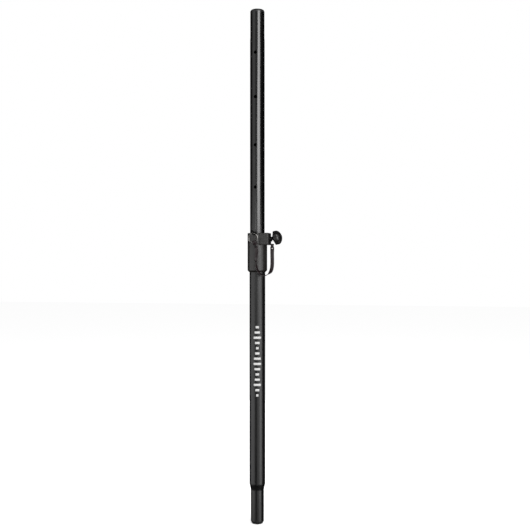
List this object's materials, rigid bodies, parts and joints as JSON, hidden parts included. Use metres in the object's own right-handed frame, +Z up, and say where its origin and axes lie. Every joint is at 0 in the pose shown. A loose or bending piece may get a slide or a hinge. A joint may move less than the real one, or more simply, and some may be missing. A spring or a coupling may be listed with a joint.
{
  "type": "telescoping speaker pole",
  "caption": "Telescoping steel speaker pole with a clamp collar, clamp knob, lock pin on a strap, and a reduced spigot at its foot.",
  "frame": {"origin": "centre of the bottom spigot's lower end, on the pole's axis", "axes": "+Z up the pole, +X towards the clamp head and its knob, the lock pin points roughly along -Y"},
  "size_m": [0.0937, 0.0714, 1.372],
  "materials": {
    "black_steel": "satin black powder coat",
    "collar_nylon": "moulded, fine texture",
    "black_plastic": "moulded",
    "knob_plastic": "moulded, satin",
    "guide_nylon": "low friction",
    "facing": "friction facing",
    "plated_steel": "zinc plated",
    "bright_wire": "nickel plated",
    "pin_steel": "black oxide",
    "brass": "machined",
    "printed_mark": "screen printed ink",
    "strap": "soft black strap"
  },
  "bodies": {
    "root": {"lower_tube": "black_steel", "spigot_plug": "black_plastic", "collar": "collar_nylon", "guide_liner": "guide_nylon", "liner_key": "plated_steel", "collar_rivets": "black_steel", "clamp_nut": "plated_steel", "nut_cover": "collar_nylon", "tab_spacer": "plated_steel", "lanyard_tab": "plated_steel", "lanyard_strap": "strap", "strap_fold_tab": "strap", "strap_rivet_tab": "plated_steel"},
    "guide_foot": {"foot_bush": "guide_nylon", "foot_washer": "plated_steel", "foot_screw": "plated_steel"},
    "mast": {"upper_tube": "black_steel", "top_cap": "black_plastic", "foot_plug": "black_plastic", "foot_plug_pins": "plated_steel"},
    "clamp_shoe": {"pressure_shoe": "guide_nylon", "shoe_facing": "facing"},
    "clamp_knob": {"clamp_stud": "black_steel", "grip_knob": "knob_plastic", "knob_insert": "brass", "knob_cap": "knob_plastic"},
    "pin": {"lock_pin": "pin_steel", "pin_crossbar": "pin_steel", "strap_fold_ring": "strap", "strap_rivet_ring": "plated_steel"},
    "ring": {"split_ring": "bright_wire"}
  },
  "joints": [
    {"name": "mast_slide", "type": "slide", "parent": "root", "child": "guide_foot", "axis": [0, 0, 1], "range_m": [-0.4825, 0]},
    {"name": "mast_swivel", "type": "hinge", "parent": "guide_foot", "child": "mast", "pos_m": [0, 0, 0.63], "axis": [0, 0, 1], "continuous": true},
    {"name": "shoe_travel", "type": "slide", "parent": "root", "child": "clamp_shoe", "axis": [0.9744, 0, 0.225], "range_m": [0, 0.0018]},
    {"name": "knob_turn", "type": "hinge", "parent": "clamp_shoe", "child": "clamp_knob", "pos_m": [0.0356, 0, 0.759], "axis": [0.9744, 0, 0.225], "range_deg": [0, 540]},
    {"name": "pin_slide", "type": "slide", "parent": "root", "child": "pin", "axis": [0.0698, 0.9976, 0], "range_m": [-0.012, 0.005]},
    {"name": "ring_turn", "type": "hinge", "parent": "pin", "child": "ring", "pos_m": [-0.00276, -0.0395, 0.7735], "axis": [0, 0, 1], "range_deg": [-12, 12]}
  ],
  "couplings": [
    {"joint": "knob_turn", "follows": "shoe_travel", "rad_per_m": 5026.5}
  ]
}
